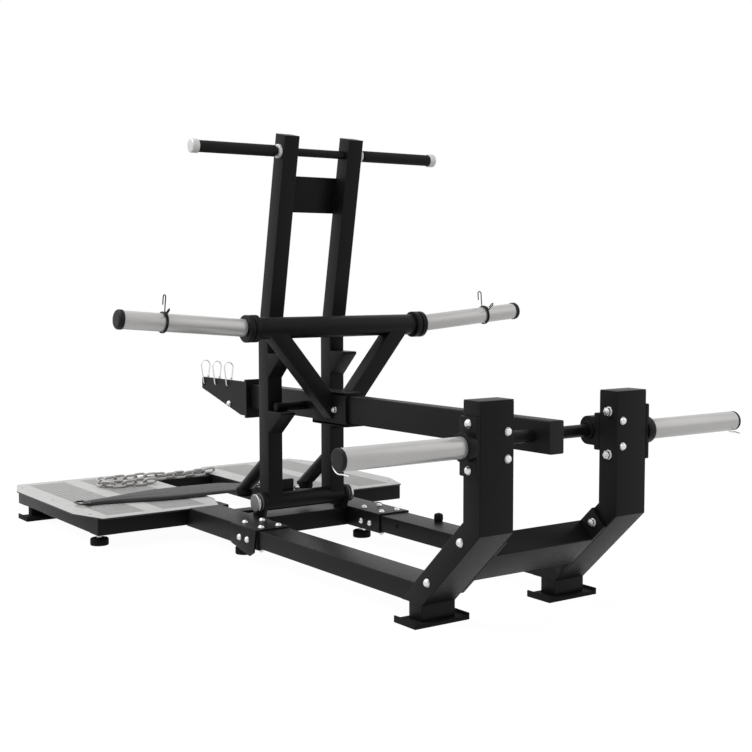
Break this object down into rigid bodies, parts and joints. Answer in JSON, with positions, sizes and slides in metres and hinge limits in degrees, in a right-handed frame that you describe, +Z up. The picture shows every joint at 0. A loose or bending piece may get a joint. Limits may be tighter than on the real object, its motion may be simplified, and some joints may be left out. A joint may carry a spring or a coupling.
{
  "type": "belt squat machine",
  "caption": "Plate-loaded belt squat machine: a slotted platform, a hinged lever with weight sleeves and carabiners, and a swinging mast whose catches hold the lever at rest.",
  "frame": {"origin": "centre of the bounding box on the floor", "axes": "+X towards the side nearer the camera in the picture, +Y towards the rear uprights, +Z up"},
  "size_m": [1.3916, 2.186, 1.2468],
  "materials": {
    "frame_black": "satin powder coat",
    "satin_steel": "satin plated",
    "chrome": "bright",
    "tread_steel": "pressed tread pattern",
    "rubber": "matt",
    "black_plastic": "matt",
    "webbing": "padded webbing"
  },
  "bodies": {
    "frame": {"rear_upright_right": "frame_black", "rear_upright_left": "frame_black", "upright_cap_right": "black_plastic", "upright_cap_left": "black_plastic", "rear_foot_right": "rubber", "rear_foot_left": "rubber", "rear_cross_member": "frame_black", "base_rail_right": "frame_black", "base_rail_left": "frame_black", "front_rail_sleeve_right": "frame_black", "front_rail_sleeve_left": "frame_black", "pivot_cross_beam": "frame_black", "stop_cross_beam": "frame_black", "mast_pivot_shaft": "chrome", "bearing_block_right": "frame_black", "bearing_block_left": "frame_black", "storage_horn_right": "satin_steel", "storage_horn_left": "satin_steel", "horn_cap_right": "black_plastic", "horn_cap_left": "black_plastic", "platform_frame": "frame_black", "tread_plate_right": "tread_steel", "tread_plate_left": "tread_steel", "front_foot_right": "rubber", "front_foot_left": "rubber"},
    "lever": {"lever_beam": "frame_black", "lever_beam_plug": "black_plastic", "lever_shaft": "frame_black", "rest_bar": "frame_black", "hook_plate": "frame_black", "lever_saddle": "frame_black", "v_leg_right": "frame_black", "v_leg_left": "frame_black", "cross_tube": "frame_black", "load_sleeve_right": "satin_steel", "load_sleeve_left": "satin_steel", "sleeve_cap_right": "black_plastic", "sleeve_cap_left": "black_plastic"},
    "mast": {"mast_upright_right": "frame_black", "mast_upright_left": "frame_black", "mast_hub": "frame_black", "mast_cross_plate": "frame_black", "handle_bar": "frame_black", "handle_grip_right": "rubber", "handle_grip_left": "rubber", "stop_bumper_right": "rubber", "stop_bumper_left": "rubber"},
    "carabiner_1": {"carabiner_1": "chrome"},
    "carabiner_2": {"carabiner_2": "chrome"},
    "carabiner_3": {"carabiner_3": "chrome"},
    "clip_right": {"spring_clip_right": "chrome"},
    "rail_foot_right": {"rail_levelling_foot_right": "rubber"},
    "platform_foot_right": {"platform_levelling_foot_right": "rubber"},
    "clip_left": {"spring_clip_left": "chrome"},
    "rail_foot_left": {"rail_levelling_foot_left": "rubber"},
    "platform_foot_left": {"platform_levelling_foot_left": "rubber"},
    "belt": {"hip_belt": "webbing", "belt_ring_right": "chrome", "belt_ring_left": "chrome"},
    "chain": {"belt_chain": "chrome"}
  },
  "joints": [
    {"name": "lever_lift", "type": "hinge", "parent": "frame", "child": "lever", "pos_m": [0, 0.987, 0.45], "axis": [-1, 0, 0], "range_deg": [0, 15.5]},
    {"name": "mast_swing", "type": "hinge", "parent": "frame", "child": "mast", "pos_m": [0, -0.085, 0.146], "axis": [1, 0, 0], "range_deg": [0, 11.6]},
    {"name": "carabiner_1_swing", "type": "hinge", "parent": "lever", "child": "carabiner_1", "pos_m": [0, -0.7273, 0.45764], "axis": [1, 0, 0], "range_deg": [-60, 60]},
    {"name": "carabiner_2_swing", "type": "hinge", "parent": "lever", "child": "carabiner_2", "pos_m": [0, -0.6433, 0.45827], "axis": [1, 0, 0], "range_deg": [-60, 60]},
    {"name": "carabiner_3_swing", "type": "hinge", "parent": "lever", "child": "carabiner_3", "pos_m": [0, -0.5593, 0.4589], "axis": [1, 0, 0], "range_deg": [-60, 60]},
    {"name": "clip_right_slide", "type": "slide", "parent": "lever", "child": "clip_right", "axis": [0.9965, -0.0006, 0.0839], "range_m": [-0.2, 0.06]},
    {"name": "clip_left_slide", "type": "slide", "parent": "lever", "child": "clip_left", "axis": [-0.9965, -0.0006, 0.0839], "range_m": [-0.2, 0.06]},
    {"name": "rail_foot_right_screw", "type": "slide", "parent": "frame", "child": "rail_foot_right", "axis": [0, 0, -1], "range_m": [0, 0.01]},
    {"name": "platform_foot_right_screw", "type": "slide", "parent": "frame", "child": "platform_foot_right", "axis": [0, 0, -1], "range_m": [0, 0.01]},
    {"name": "rail_foot_left_screw", "type": "slide", "parent": "frame", "child": "rail_foot_left", "axis": [0, 0, -1], "range_m": [0, 0.01]},
    {"name": "platform_foot_left_screw", "type": "slide", "parent": "frame", "child": "platform_foot_left", "axis": [0, 0, -1], "range_m": [0, 0.01]},
    {"name": "belt_lift", "type": "slide", "parent": "frame", "child": "belt", "axis": [0, 0, 1], "range_m": [0, 0.2]},
    {"name": "chain_lift", "type": "slide", "parent": "frame", "child": "chain", "axis": [0, 0, 1], "range_m": [0, 0.3]}
  ],
  "couplings": [
    {"joint": "mast_swing", "follows": "lever_lift", "ratio": 0.742}
  ]
}
